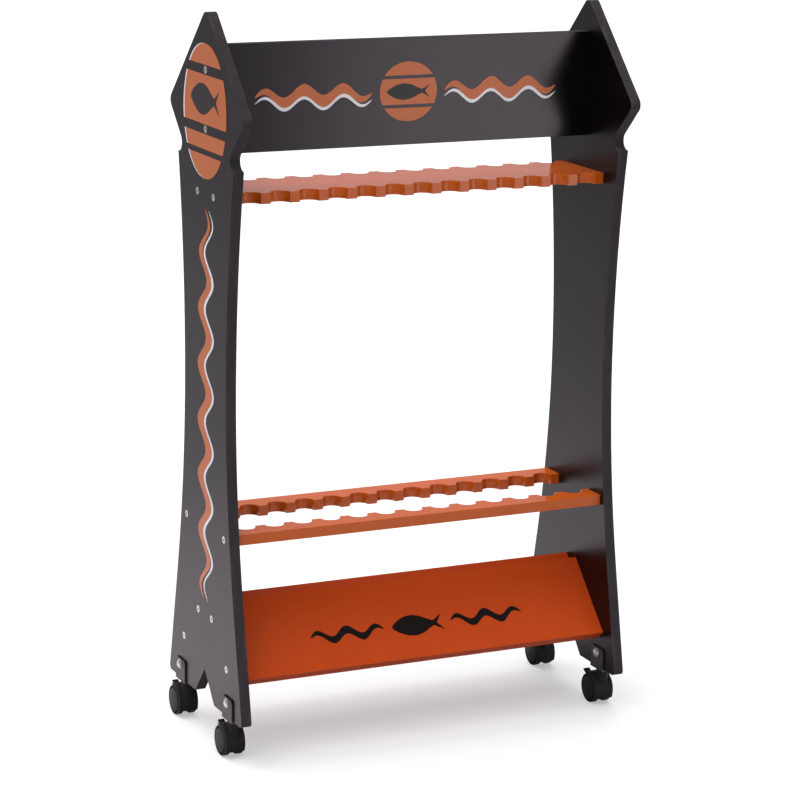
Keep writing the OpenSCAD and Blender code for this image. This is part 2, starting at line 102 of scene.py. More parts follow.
# The roughness of each finish where nothing has worn it.
PANEL_ROUGHNESS = 0.3
HEADER_ROUGHNESS = 0.19
SAWN_ROUGHNESS = 0.95
LACQUER_ROUGHNESS = 0.13
COAT_ROUGHNESS = 0.42
PLASTIC_ROUGHNESS = 0.5
WHEEL_ROUGHNESS = 0.4
PLATE_ROUGHNESS = 0.24
FILM_ROUGHNESS = 0.34

# The relief of each finish's grain, in metres.
LAMINATE_RELIEF = 1.2e-5
LACQUER_RELIEF = 1.5e-5
COAT_RELIEF = 4e-5
PLASTIC_RELIEF = 2e-5
PLATE_RELIEF = 8e-6
FILM_RELIEF = 2e-5

# Cells of grain in a metre: the boards' pearl, and the moulds' spark-eroded grain.
PEARL_SCALE = 850
MOULD_SCALE = 1800

# The faint violet of the laminate's gloss, and that of the room that the boards mirror.
LAMINATE_TINT = (1, 0.9, 0.99, 1)
GLOSS_TINT = (1, 0.93, 1, 1)
WHITE = (1, 1, 1, 1)

# Steps along a wave's crest, a fish and a slice of an oval.
STEPS_IN_CREST = 24
STEPS_IN_FISH = 48
STEPS_IN_BAND = 28

# A fish, in shares of its length and height: its body and how blunt that is, where its tail starts,
# how wide the tail spreads and with what curve, and the fork in it.
BODY_SHARE = 0.8
BODY_FULLNESS = 0.75
TAIL_START = 0.7
TAIL_SPREAD = 0.42
TAIL_CURVE = 1.3
FORK_SHARE = 0.12

# The crests of each wave.
HEADER_CRESTS = 3
PANEL_CRESTS = 7
BUTT_CRESTS = 2.5

# The pale line below a wave: its width as a share of the wave's, and its drop in half widths.
LINE_SHARE = 0.45
LINE_DROP = 1.05

# The least half width of an oval's band, as a share of the oval's.
LEAST_CHORD = 0.001

# Layers of film under each motif's upper face, so that a motif laid over another shows.
LINE_LAYERS = 1
SHAPE_LAYERS = 2
FISH_LAYERS = 3

# The suns: how wide each looks, and the way that its light travels.
KEY_SPREAD = math.radians(65)
KEY_TRAVEL = Vector((0.05, -0.62, -1.0))
FILL_SPREAD = math.radians(60)
FILL_TRAVEL = Vector((0.25, 0.2, -1.0))

# The box light that only the boards' gloss shows.
SOFTBOX_WIDTH = 1.4
SOFTBOX_HEIGHT = 1.0
SOFTBOX_PLACE = Vector((1.62, -2.39, 0.5))
SOFTBOX_AIM = Vector((0, 0, 0.9))

# The floor: its half width, its tone in the light, and how much of it glows for the camera and for gloss.
FLOOR_HALF = 30
FLOOR_CELLS = 8
FLOOR_TONE = (0.5, 0.5, 0.5, 1)
FLOOR_TONE_SEEN = (0.76, 0.76, 0.76, 1)
SEEN_SHARE = 0.42
GLOSS_SHARE = 0.8

# The floor's glow in the gloss: a pool round the rack that fades with distance in metres,
# two brighter stretches at the left and behind, and the rack's own shade below it.
POOL_GLOW = 1.62
POOL_FALL = 1.42
POOL_REACH = (0.2, 2.7)
BEHIND_GLOW = 0.7
BEHIND_X = (-1.9, -1.1)
BEHIND_Y = (1.2, 2.8)
BESIDE_GLOW = 0.35
BESIDE_X = (-0.9, -0.2)
BESIDE_Y = (0.4, 1.0)
BELOW_SHADE = 1.5
BELOW_X = (0.28, 0.4)
BELOW_Y = (0.12, 0.3)

# The room in the gloss: its light at the horizon, and how it darkens towards the ceiling.
HORIZON_GLOW = 0.5
CEILING_SHADE = 0.85
CEILING_RISE = (0.15, 0.7)

# The photograph's frame, in pixels, and the camera that was fitted to it.
PHOTO_SIZE = 800
FOCAL_PIXELS = 2885.1
SENSOR_MM = 36
CAMERA_PLACE = Vector((-1.7922, -3.8128, 1.5078))
CAMERA_YAW = math.radians(25.143)
CAMERA_PITCH = math.radians(12.784)
CAMERA_ROLL = math.radians(0.944)
CAMERA_SHIFT_Y = -0.05
CAMERA_REACH = 100


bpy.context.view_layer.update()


class Wire:
    """One output of a node; arithmetic on it adds Math nodes to the same finish."""

    def __init__(self, finish, socket):
        self.finish = finish
        self.socket = socket

    def maths(self, operation, first, second=0.0):
        return self.finish.node("ShaderNodeMath", {"operation": operation}, {0: first, 1: second})

    def __add__(self, other):
        return self.maths("ADD", self, other)

    def __sub__(self, other):
        return self.maths("SUBTRACT", self, other)

    def __rsub__(self, other):
        return self.maths("SUBTRACT", other, self)

    def __mul__(self, other):
        return self.maths("MULTIPLY", self, other)

    __radd__ = __add__
    __rmul__ = __mul__

    def size(self):
        return self.maths("ABSOLUTE", self)

    def from_to(self, low, high):
        """0 below low, 1 above high and a smooth step between them."""
        step = {"interpolation_type": "SMOOTHSTEP"}
        return self.finish.node("ShaderNodeMapRange", step, {0: self, 1: low, 2: high, 3: 0.0, 4: 1.0})


class Finish:
    """One node tree, for a material or for the world."""

    def __init__(self, tree):
        self.tree = tree
        tree.nodes.clear()

    def node(self, kind, settings=None, sockets=None, output=0):
        """Adds a node, sets its settings, then gives its sockets their values or links."""
        made = self.tree.nodes.new(kind)
        for name, value in (settings or {}).items():
            setattr(made, name, value)
        for key, value in (sockets or {}).items():
            if isinstance(value, Wire):
                self.tree.links.new(value.socket, made.inputs[key])
            else:
                made.inputs[key].default_value = value
        return Wire(self, made.outputs[output]) if made.outputs else None

    def noise(self, scale, detail=2.0, stretch=(1, 1, 1)):
        """Smooth noise, about scale cells in a metre, longest where stretch is smallest."""
        place = self.node("ShaderNodeTexCoord", output="Object")
        drawn = self.node("ShaderNodeMapping", {}, {"Vector": place, "Scale": stretch})
        return self.node("ShaderNodeTexNoise", {}, {"Vector": drawn, "Scale": scale, "Detail": detail})

    def facing(self, axis):
        """1 where the surface faces along axis, either way, and 0 where it is side on to it."""
        normal = self.node("ShaderNodeTexCoord", output="Normal")
        product = {"operation": "DOT_PRODUCT"}
        return self.node("ShaderNodeVectorMath", product, {0: normal, 1: axis}, "Value").size()

    def blend(self, factor, first, second):
        """Goes from the first colour to the second as factor goes from 0 to 1."""
        return self.node("ShaderNodeMix", {"data_type": "RGBA"}, {0: factor, 6: first, 7: second}, 2)

    def mottle(self, pattern, colour, darker, lighter):
        """Goes from a darker share of a colour to a lighter one as pattern goes from 0 to 1."""
        return self.blend(pattern, tone(colour, darker), tone(colour, lighter))

    def surface(self, colour, roughness, height, relief, constants):
        """Joins a colour, a roughness and a height of relief metres to the shader."""
        bump = self.node("ShaderNodeBump", {}, {"Distance": relief, "Height": height}, "Normal")
        varied = {"Base Color": colour, "Roughness": roughness, "Normal": bump}
        shader = self.node("ShaderNodeBsdfPrincipled", {"distribution": "GGX"}, {**constants, **varied})
        self.node("ShaderNodeOutputMaterial", {}, {"Surface": shader})


def material_named(name, dress):
    """The material of that name, dressed on its first use."""
    found = bpy.data.materials.get(name)
    if found is None:
        found = bpy.data.materials.new(name)
        found.use_nodes = True
        dress(Finish(found.node_tree))
    return found


def tone(colour, share=1.0):
    """A colour property as a colour with its alpha, made lighter or darker by share."""
    return (*[min(part * share, 1.0) for part in colour], 1.0)


def laminate(name, colours, axis, face_roughness, gloss):
    """Charcoal film-faced board, with a fine pearl on its faces and a duller sawn edge."""

    def dress(finish):
        cloud = finish.noise(scale=7, detail=3)
        pearl = finish.noise(scale=PEARL_SCALE, detail=2)
        scuffs = finish.noise(scale=60, detail=4, stretch=(1, 1, 0.25))
        facing = finish.facing(axis)
        face = facing.from_to(*FACE_ON)
        corner = facing.from_to(*EDGE_ON) * (1 - face)
        skin = finish.mottle(cloud, colours.panel_face, darker=0.75, lighter=1.3)
        sawn = finish.mottle(scuffs, colours.panel_edge, darker=0.7, lighter=1.25)
        board = finish.blend(face, sawn, skin)
        worn = corner * scuffs.from_to(0.45, 0.75)
        colour = finish.blend(worn, board, tone(colours.panel_edge, 1.6))
        roughness = SAWN_ROUGHNESS - face * (SAWN_ROUGHNESS - face_roughness) + scuffs * 0.05
        shine = {"Specular IOR Level": gloss, "Specular Tint": LAMINATE_TINT}
        finish.surface(colour, roughness, pearl + scuffs * 0.5, LAMINATE_RELIEF, shine)

    return material_named(name, dress)


def lacquer(name, colour, colours, axis):
    """Orange lacquered board, with the fibres under the paint showing along its length."""

    def dress(finish):
        cloud = finish.noise(scale=9, detail=3)
        fibre = finish.noise(scale=420, detail=3, stretch=(0.035, 1, 1))
        peel = finish.noise(scale=260, detail=1)
        facing = finish.facing(axis)
        corner = facing.from_to(*EDGE_ON) * (1 - facing.from_to(*FACE_ON))
        side = 1 - facing.from_to(*EDGE_ON)
        paint = finish.mottle(cloud, colour, darker=0.93, lighter=1.06)
        grained = finish.blend(fibre.from_to(0.5, 0.85) * 0.12, paint, tone(colour, 0.8))
        worn = corner * finish.noise(scale=90, detail=4).from_to(0.5, 0.75)
        shown = finish.blend(worn * 0.25, grained, tone(colours.board_worn))
        roughness = LACQUER_ROUGHNESS + cloud * 0.04 + fibre * 0.02 + side * 0.12 + worn * 0.15
        shine = {"Specular IOR Level": LACQUER_GLOSS}
        finish.surface(shown, roughness, fibre * 0.2 + peel, LACQUER_RELIEF, shine)

    return material_named(name, dress)


def powder_coat(colours):
    """Black powder coat on pressed steel, with its small bubbled grain."""

    def dress(finish):
        grain = finish.noise(scale=1400, detail=2)
        cloud = finish.noise(scale=40, detail=3)
        # Rubbed spots of the coat, lighter and a little smoother.
        lightened = finish.noise(scale=220, detail=4).from_to(0.62, 0.8)
        coat = finish.mottle(cloud, colours.coat, darker=0.8, lighter=1.25)
        colour = finish.blend(lightened * 0.4, coat, tone(colours.coat, 2.0))
        roughness = COAT_ROUGHNESS + cloud * 0.12 - lightened * 0.08
        finish.surface(colour, roughness, grain, COAT_RELIEF, {"Specular IOR Level": COAT_GLOSS})

    return material_named("black_powder_coat", dress)


def caster_plastic(colours):
    """The hoods' and pedals' moulded plastic, with a spark-eroded grain and faint flow marks."""

    def dress(finish):
        grain = finish.noise(scale=MOULD_SCALE, detail=2)
        flow = finish.noise(scale=70, detail=3, stretch=(1, 1, 0.3))
        scuffed = finish.noise(scale=300, detail=5).from_to(0.6, 0.78)
        base = finish.mottle(flow, colours.plastic, darker=0.8, lighter=1.25)
        shown = finish.blend(scuffed * 0.35, base, tone(colours.plastic, 2.2))
        roughness = PLASTIC_ROUGHNESS + flow * 0.1 + scuffed * 0.1
        finish.surface(shown, roughness, grain, PLASTIC_RELIEF, {"Specular IOR Level": PLASTIC_GLOSS})

    return material_named("caster_plastic", dress)


def wheel_plastic(corner, side, colours, groove, width):
    """A twin wheel's plastic, with painted shade in the groove round its domed face and a painted
    highlight, partly rubbing, on its shoulders.
    """
    node = f"{corner}_{side}_wheel"
    low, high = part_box(node)
    axle = (low + high) / 2
    upright = Y_AXIS + Z_AXIS
    inner = groove - width

    def dress(finish):
        place = finish.node("ShaderNodeTexCoord", output="Object")
        spoke = finish.node("ShaderNodeVectorMath", {"operation": "SUBTRACT"}, {0: place, 1: axle})
        flat = finish.node("ShaderNodeVectorMath", {"operation": "MULTIPLY"}, {0: spoke, 1: upright})
        reach = finish.node("ShaderNodeVectorMath", {"operation": "LENGTH"}, {0: flat}, "Value")
        facing = finish.facing(X_AXIS)
        beyond = reach.from_to(groove, groove * (1 + SEAM_FADE))
        within = reach.from_to(inner * (1 - SEAM_FADE), inner) * (1 - beyond)
        # Painted shade: the groove round the dome and the flat beside it are darkened and dulled, as shade
        # in that recess.
        groove_shade = within * facing.from_to(*ON_SEAM)
        highlit_shoulder = facing.from_to(*OFF_TREAD) * (1 - facing.from_to(*ON_DOME)) * (1 - groove_shade)
        grain = finish.noise(scale=MOULD_SCALE, detail=2)
        flow = finish.noise(scale=70, detail=3, stretch=(1, 1, 0.3))
        scuffed = finish.noise(scale=300, detail=5).from_to(0.55, 0.78)
        base = finish.mottle(flow, colours.tread, darker=0.85, lighter=1.2)
        # Painted highlight: the shoulders are lightened all round, and more where the scuffs fall, so only
        # part of it is rubbing.
        lightened = finish.blend(highlit_shoulder * (0.3 + scuffed * 0.4), base, tone(colours.tread, 2.6))
        shown = finish.blend(groove_shade, lightened, tone(colours.tread, 0.12))
        roughness = WHEEL_ROUGHNESS + flow * 0.1 + scuffed * 0.1 + groove_shade * 0.4
        finish.surface(shown, roughness, grain, PLASTIC_RELIEF, {"Specular IOR Level": WHEEL_GLOSS})

    return material_named(node + "_plastic", dress)


def zinc_steel(colours):
    """Bright zinc plate, finely brushed, with a duller bloom in places."""

    def dress(finish):
        brushed = finish.noise(scale=1500, detail=3, stretch=(1, 1, 0.08))
        bloom = finish.noise(scale=180, detail=3)
        plate = finish.blend(bloom, tone(colours.steel), tone(colours.steel, 0.75))
        colour = finish.blend(brushed * 0.4, plate, tone(colours.steel, 0.85))
        roughness = PLATE_ROUGHNESS + bloom * 0.16
        finish.surface(colour, roughness, brushed, PLATE_RELIEF, {"Metallic": PLATE_METALLIC})

    return material_named("zinc_plated_steel", dress)


def print_film(name, colour):
    """Printed vinyl film, a little mottled, following the board's pearl."""

    def dress(finish):
        cloud = finish.noise(scale=22, detail=3)
        pearl = finish.noise(scale=PEARL_SCALE, detail=2)
        speck = finish.noise(scale=500, detail=4).from_to(0.66, 0.8)
        ink = finish.mottle(cloud, colour, darker=0.92, lighter=1.06)
        shown = finish.blend(speck * 0.3, ink, tone(colour, 0.6))
        roughness = FILM_ROUGHNESS + cloud * 0.1
        finish.surface(shown, roughness, pearl, FILM_RELIEF, {"Specular IOR Level": FILM_GLOSS})

    return material_named(name, dress)


def dress_node(node, material):
    """Gives a carried-over CAD node one material in every slot."""
    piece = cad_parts[node]
    piece.data.materials.clear()
    piece.data.materials.append(material)


def piece_from(mesh, name, material, body):
    """Turns a bmesh that is already in place into a piece that rides on body."""
    data = bpy.data.meshes.new(name)
    mesh.to_mesh(data)
    mesh.free()
    data.materials.append(material)
    piece = bpy.data.objects.new(name, data)
    bpy.context.scene.collection.objects.link(piece)
    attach(piece, body)
    return piece


def softened_copy(node, name, radius, material):
    """Stands a merged copy of a CAD board, its sharp edges rounded, in the board's place."""
    mesh = bmesh.new()
    mesh.from_mesh(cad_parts[node].data)
    bmesh.ops.remove_doubles(mesh, verts=mesh.verts, dist=MERGE_DISTANCE)
    bmesh.ops.dissolve_limit(mesh, angle_limit=FLAT_ANGLE, verts=mesh.verts, edges=mesh.edges)
    flat = {
        tuple(round(part, NORMAL_DIGITS) for part in face.normal)
        for face in mesh.faces
        if not any(FLAT_ANGLE < edge.calc_face_angle(0) < SHARP_ANGLE for edge in face.edges)
    }
    sharp = [edge for edge in mesh.edges if edge.calc_face_angle(0) > SHARP_ANGLE]
    bmesh.ops.bevel(
        mesh, geom=sharp, offset=radius, offset_type="OFFSET", segments=EDGE_SEGMENTS,
        profile=0.5, affect="EDGES", clamp_overlap=True, material=-1,
    )
    bmesh.ops.recalc_face_normals(mesh, faces=mesh.faces)
    for face in mesh.faces:
        face.smooth = not any((face.normal - Vector(normal)).length < SAME_NORMAL for normal in flat)
    for edge in mesh.edges:
        edge.smooth = edge.calc_face_angle(0) < SHADE_SPLIT
    piece = piece_from(mesh, name, material, FRAME_BODY)
    piece.data.attributes.remove(piece.data.attributes["custom_normal"])
    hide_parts(node)
    return piece


def on_face(origin, along, up):
    """The matrix that lays a flat motif, drawn in X and Y, on a board's face."""
    outward = along.cross(up)
    rows = [(along[i], up[i], outward[i], origin[i]) for i in range(3)]
    return Matrix([*rows, (0, 0, 0, 1)])


def drawn_grid(steps, across, point):
    """A flat grid whose corners go to point(t, side): t is 0 to 1 along it, side is -1 to 1 across."""
    mesh = bmesh.new()
    bmesh.ops.create_grid(mesh, x_segments=steps, y_segments=across, size=1)
    for vert in mesh.verts:
        u, v = point((vert.co.x + 1) / 2, vert.co.y)
        vert.co = Vector((u, v, 0))
    bmesh.ops.remove_doubles(mesh, verts=mesh.verts, dist=MERGE_DISTANCE)
    return mesh


def lay_film(mesh, name, place, thickness, material):
    """Gives a flat motif its film's thickness and lays it on the face that place describes."""
    walls = bmesh.ops.extrude_face_region(mesh, geom=mesh.faces[:], use_keep_orig=True)
    raised = [part for part in walls["geom"] if isinstance(part, bmesh.types.BMVert)]
    bmesh.ops.translate(mesh, verts=raised, vec=Z_AXIS * thickness)
    bmesh.ops.recalc_face_normals(mesh, faces=mesh.faces)
    bmesh.ops.transform(mesh, matrix=place, verts=mesh.verts)
    bmesh.ops.recalc_face_normals(mesh, faces=mesh.faces)
    return piece_from(mesh, name, material, FRAME_BODY)


def wave(length, crests, swing, half_width, drop=0.0):
    """A wave ribbon that tapers to both ends, drop below the line that it swings about."""

    def point(t, side):
        middle = swing * math.sin(2 * math.pi * crests * t)
        taper = math.sin(math.pi * min(max(t, 0.0), 1.0)) ** 0.5
        return (t - 0.5) * length, middle - drop + side * half_width * taper

    return drawn_grid(round(crests * STEPS_IN_CREST), across=1, point=point)


def fish(length, height):
    """A plain fish outline: a rounded body and a forked tail, its nose at the left."""

    def point(t, side):
        body = math.sin(math.pi * min(t / BODY_SHARE, 1.0)) ** BODY_FULLNESS / 2
        flare = max(0.0, (t - TAIL_START) / (1 - TAIL_START))
        fork = FORK_SHARE * flare * (1 - abs(side))
        half = height * (body + TAIL_SPREAD * flare ** TAIL_CURVE)
        return length * (t - 0.5 - fork), side * half

    return drawn_grid(STEPS_IN_FISH, across=4, point=point)


def oval_band(half_width, half_height, low, high):
    """The slice of an oval between two heights above its middle."""

    def point(t, side):
        v = low + t * (high - low)
        chord = math.sqrt(max(0.0, 1 - (v / half_height) ** 2))
        return side * half_width * max(chord, LEAST_CHORD), v

    return drawn_grid(STEPS_IN_BAND, across=1, point=point)


class RackColours(bpy.types.PropertyGroup):
    """Colours that a user would change."""

    def colour(label, note, value):
        return FloatVectorProperty(
            name=label, description=note, default=value, subtype="COLOR", min=0, max=1,
        )

    panel_face: colour("Panel face", "Film face of the black boards", (0.002, 0.0017, 0.002))
    panel_edge: colour("Panel edge", "Sawn edge of the black boards", (0.036, 0.032, 0.036))
    board: colour("Board", "Lacquer of the sloping boards", (0.45, 0.055, 0.009))
    # The same orange lacquer as the sloping boards, painted lighter and yellower for the light and warm
    # sheen on the level rests and slats.
    rest: colour("Rest", "Lacquer of the notched rests", (0.49, 0.085, 0.006))
    board_worn: colour("Worn board", "Where a corner's lacquer is rubbed", (0.5, 0.1, 0.025))
    coat: colour("Bracket", "Powder coat of the caster brackets", (0.008, 0.0072, 0.008))
    plastic: colour("Caster body", "Moulded hood and pedal", (0.017, 0.0158, 0.017))
    tread: colour("Wheel", "Twin wheels", (0.02, 0.0186, 0.02))
    steel: colour("Steel", "Zinc plate of bolts and screws", (0.74, 0.73, 0.72))
    ink: colour("Print", "Main colour of the printed motifs", (0.5, 0.12, 0.03))
    ink_pale: colour("Pale print", "Thin line beside the motifs", (0.75, 0.74, 0.78))
    ink_dark: colour("Dark print", "Motifs on the orange boards", (0.006, 0.005, 0.005))


class RackSizes(bpy.types.PropertyGroup):
    """Sizes that a user would change."""

    def length(label, note, value):
        return FloatProperty(name=label, description=note, default=value, min=0, unit="LENGTH", precision=5)

    edge_radius: length("Edge radius", "Rounding of the boards' edges", 0.0008)
    film: length("Film", "Thickness of the printed film", 0.0002)
    hub_groove: length("Hub groove", "Outer radius of the seam round a wheel's domed face", 0.0205)
    groove_width: length("Groove width", "Width of the seam, its groove and the flat beside it", 0.0023)
    badge_width: length("Badge width", "Oval badge on each panel's head", 0.164)
    badge_height: length("Badge height", "Oval badge on each panel's head", 0.194)
    badge_drop: length("Badge drop", "Badge's middle below the header's middle", 0.017)
    badge_edge: length("Badge edge", "Pale line along the badge's left edge", 0.0045)
    badge_band: length("Badge band", "Height of the badge's band under the lower screw", 0.022)
    badge_stripe: length("Badge stripe", "Bare stripe below that band", 0.0084)
    badge_fish: length("Badge fish", "Length of the fish on a panel's badge", 0.112)
    badge_fish_height: length("Badge fish height", "Height of that fish's body", 0.045)
    screw_gap: length("Screw gap", "Bare band of the badge round a screw", 0.014)
    header_badge_width: length("Header badge width", "Oval badge in the header's middle", 0.092)
    header_badge_height: length("Header badge height", "Oval badge in the header's middle", 0.088)
    header_band: length("Header band", "Height of that badge's middle band", 0.038)
    header_stripe: length("Header stripe", "Bare stripe on each side of that band", 0.005)
    header_fish: length("Header fish", "Length of the fish on the header", 0.07)
    header_fish_height: length("Header fish height", "Height of that fish's body", 0.024)
    header_wave: length("Header wave", "Length of each wave beside the header's badge", 0.185)
    header_wave_gap: length("Header wave gap", "From the badge to each wave", 0.012)
    header_swing: length("Header swing", "How far that wave swings to each side", 0.0085)
    header_ribbon: length("Header ribbon", "Width of that wave", 0.018)
    panel_wave: length("Panel wave", "Length of the wave down each panel", 0.585)
    panel_wave_rise: length("Panel wave rise", "Its middle above the middle of foot and badge", 0.054)
    panel_swing: length("Panel swing", "How far that wave swings to each side", 0.016)
    panel_ribbon: length("Panel ribbon", "Width of that wave", 0.026)
    butt_fish: length("Butt board fish", "Length of the fish on the sloping boards", 0.085)
    butt_fish_height: length("Butt board fish height", "Height of that fish's body", 0.034)
    butt_wave: length("Butt board wave", "Length of each wave on the sloping boards", 0.12)
    butt_wave_gap: length("Butt board wave gap", "From the fish's middle to each wave", 0.055)
    butt_swing: length("Butt board swing", "How far that wave swings to each side", 0.007)
    butt_ribbon: length("Butt board ribbon", "Width of that wave", 0.013)
    butt_rise: FloatProperty(
        name="Butt board rise", description="The motifs' height, as a share of the slope",
        default=0.4, min=0, max=1, subtype="FACTOR",
    )


class StudioSettings(bpy.types.PropertyGroup):
    """Light levels of the stage."""

    def level(label, note, value):
        return FloatProperty(name=label, description=note, default=value, min=0)

    key: level("Key", "Strength of the soft light from behind and above", 2.6)
    fill: level("Fill", "Strength of the soft light from the front", 2.8)
    softbox: level("Softbox", "Power of the box at the front right", 12.5)
    ambient: level("Ambient", "Strength of the room's even light", 0.3)


class RACK_OT_panels(bpy.types.Operator):
    """Rounds and laminates the two side panels and the header board"""

    bl_idname = "rack.panels"
    bl_label = "Black panels"

    def execute(self, context):
        colours, sizes = context.scene.rack_colours, context.scene.rack_sizes
        film = laminate("charcoal_laminate", colours, X_AXIS, PANEL_ROUGHNESS, PANEL_GLOSS)
        for node in ("left_side_panel", "right_side_panel"):
            softened_copy(node, node + "_board", sizes.edge_radius, film)
        film = laminate("charcoal_laminate_header", colours, Y_AXIS, HEADER_ROUGHNESS, HEADER_GLOSS)
        softened_copy("header_board", "header_laminate", sizes.edge_radius, film)
        return {"FINISHED"}


class RACK_OT_rod_boards(bpy.types.Operator):
    """Rounds and lacquers the notched rests and the sloping butt boards"""

    bl_idname = "rack.rod_boards"
    bl_label = "Orange boards"

    def execute(self, context):
        colours, sizes = context.scene.rack_colours, context.scene.rack_sizes
        # The level boards take the rest colour: their lacquer painted lighter and yellower for the light on
        # their tops.
        level = lacquer("orange_lacquer", colours.rest, colours, Z_AXIS)
        front = lacquer("orange_lacquer_front_slope", colours.board, colours, FRONT_SLOPE)
        rear = lacquer("orange_lacquer_rear_slope", colours.board, colours, REAR_SLOPE)
        boards = {
            "upper_rod_rest": level, "front_lower_slat": level, "rear_lower_slat": level,
            "front_butt_board": front, "rear_butt_board": rear,
        }
        for node, paint in boards.items():
            softened_copy(node, node + "_lacquered", sizes.edge_radius, paint)
        return {"FINISHED"}


class RACK_OT_prints(bpy.types.Operator):
    """Lays the wave, fish and oval motifs on the header, panels and sloping boards"""

    bl_idname = "rack.prints"
    bl_label = "Printed motifs"

    def execute(self, context):
        colours, self.sizes = context.scene.rack_colours, context.scene.rack_sizes
        self.ink = print_film("orange_print", colours.ink)
        self.pale = print_film("pale_print", colours.ink_pale)
        self.dark = print_film("dark_print", colours.ink_dark)
        low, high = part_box("header_board")
        middle = (low.z + high.z) / 2
        for side, y, along in (("front", low.y, X_AXIS), ("rear", high.y, -X_AXIS)):
            self.header_print(side, on_face(Vector((0, y, middle)), along, Z_AXIS))
        for side, along in (("left", -Y_AXIS), ("right", Y_AXIS)):
            self.panel_print(side, along, middle)
        for side, turn in (("front", 1), ("rear", -1)):
            self.butt_print(side, turn)
        return {"FINISHED"}

    def lay(self, mesh, name, place, layers, material):
        """Lays a motif whose upper face is so many layers of film above the board."""
        return lay_film(mesh, name, place, self.sizes.film * layers, material)

    def wave_pair(self, name, place, length, crests, swing, half_width):
        """An orange wave with a pale line following close below it."""
        line = wave(length, crests, swing, half_width * LINE_SHARE, half_width * LINE_DROP)
        self.lay(line, name + "_line", place, LINE_LAYERS, self.pale)
        self.lay(wave(length, crests, swing, half_width), name, place, SHAPE_LAYERS, self.ink)

    def header_print(self, side, place):
        """A banded oval with a fish in the header's middle, and a wave on each side of it."""
        sizes = self.sizes
        half_width, half_height = sizes.header_badge_width / 2, sizes.header_badge_height / 2
        away = half_width + sizes.header_wave_gap + sizes.header_wave / 2
        for hand, turn in (("left", -1), ("right", 1)):
            beside = place @ Matrix.Translation((turn * away, 0, 0))
            name = f"header_{side}_{hand}_wave"
            shape = (sizes.header_wave, HEADER_CRESTS, sizes.header_swing, sizes.header_ribbon / 2)
            self.wave_pair(name, beside, *shape)
        band = sizes.header_band / 2
        next_band = band + sizes.header_stripe
        bands = {
            "cap": (next_band, half_height),
            "middle": (-band, band),
            "foot": (-half_height, -next_band),
        }
        for name, (low, high) in bands.items():
            slice_of_oval = oval_band(half_width, half_height, low, high)
            self.lay(slice_of_oval, f"header_{side}_badge_{name}", place, SHAPE_LAYERS, self.ink)
        swimmer = fish(sizes.header_fish, sizes.header_fish_height)
        self.lay(swimmer, f"header_{side}_fish", place, FISH_LAYERS, self.dark)

    def panel_print(self, side, along, middle):
        """A banded oval with a fish on a panel's head, bare round the screws, and a wave down the panel."""
        sizes = self.sizes
        low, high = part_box(f"{side}_side_panel")
        x = low.x if side == "left" else high.x
        centre = middle - sizes.badge_drop
        badge = on_face(Vector((x, 0, centre)), along, Z_AXIS)
        pale = badge @ Matrix.Translation((-sizes.badge_edge, 0, 0))
        half_width, half_height = sizes.badge_width / 2, sizes.badge_height / 2
        gap = sizes.screw_gap / 2
        low_screw, high_screw = [height - centre for height in self.screw_heights(side, middle)]
        lower = low_screw - gap - sizes.badge_band
        bands = {
            "cap": (high_screw + gap, half_height),
            "middle": (low_screw + gap, high_screw - gap),
            "lower": (lower, low_screw - gap),
            "foot": (-half_height, lower - sizes.badge_stripe),
        }
        for name, (bottom, top) in bands.items():
            shape = (half_width, half_height, bottom, top)
            self.lay(oval_band(*shape), f"{side}_badge_{name}", badge, SHAPE_LAYERS, self.ink)
            self.lay(oval_band(*shape), f"{side}_badge_{name}_line", pale, LINE_LAYERS, self.pale)
        fish_height = centre + sum(bands["middle"]) / 2
        swimming = on_face(Vector((x, 0, fish_height)), along, Z_AXIS)
        swimmer = fish(sizes.badge_fish, sizes.badge_fish_height)
        self.lay(swimmer, f"{side}_badge_fish", swimming, FISH_LAYERS, self.dark)
        run_middle = (low.z + centre - half_height) / 2 + sizes.panel_wave_rise
        upright = on_face(Vector((x, 0, run_middle)), Z_AXIS, -along)
        shape = (sizes.panel_wave, PANEL_CRESTS, sizes.panel_swing, sizes.panel_ribbon / 2)
        self.wave_pair(f"{side}_panel_wave", upright, *shape)

    def screw_heights(self, side, middle):
        """The two heights of the header's screws, from the screws' own node."""
        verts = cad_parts[f"{side}_panel_screws"].data.vertices
        near = [v.co.z for v in verts if abs(v.co.y) < self.sizes.screw_gap / 2]
        above = [z for z in near if z > middle]
        below = [z for z in near if middle - self.sizes.badge_height / 2 < z <= middle]
        return (min(below) + max(below)) / 2, (min(above) + max(above)) / 2

    def butt_print(self, side, turn):
        """A fish between two waves on a sloping board, whose face looks out and up at 45 degrees."""
        sizes = self.sizes
        up = Vector((0, turn, 1)).normalized()
        along = X_AXIS * turn
        outward = along.cross(up)
        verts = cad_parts[f"{side}_butt_board"].data.vertices
        surface = max(v.co.dot(outward) for v in verts)
        climbs = [v.co.dot(up) for v in verts]
        rise = min(climbs) + (max(climbs) - min(climbs)) * sizes.butt_rise
        centre = outward * surface + up * rise
        place = on_face(centre, along, up)
        swimmer = fish(sizes.butt_fish, sizes.butt_fish_height)
        self.lay(swimmer, f"{side}_butt_fish", place, SHAPE_LAYERS, self.dark)
        away = sizes.butt_wave_gap + sizes.butt_wave / 2
        for hand, way in (("left", -1), ("right", 1)):
            beside = place @ Matrix.Translation((way * away, 0, 0))
            ribbon = wave(sizes.butt_wave, BUTT_CRESTS, sizes.butt_swing, sizes.butt_ribbon / 2)
            self.lay(ribbon, f"{side}_butt_{hand}_wave", beside, SHAPE_LAYERS, self.dark)


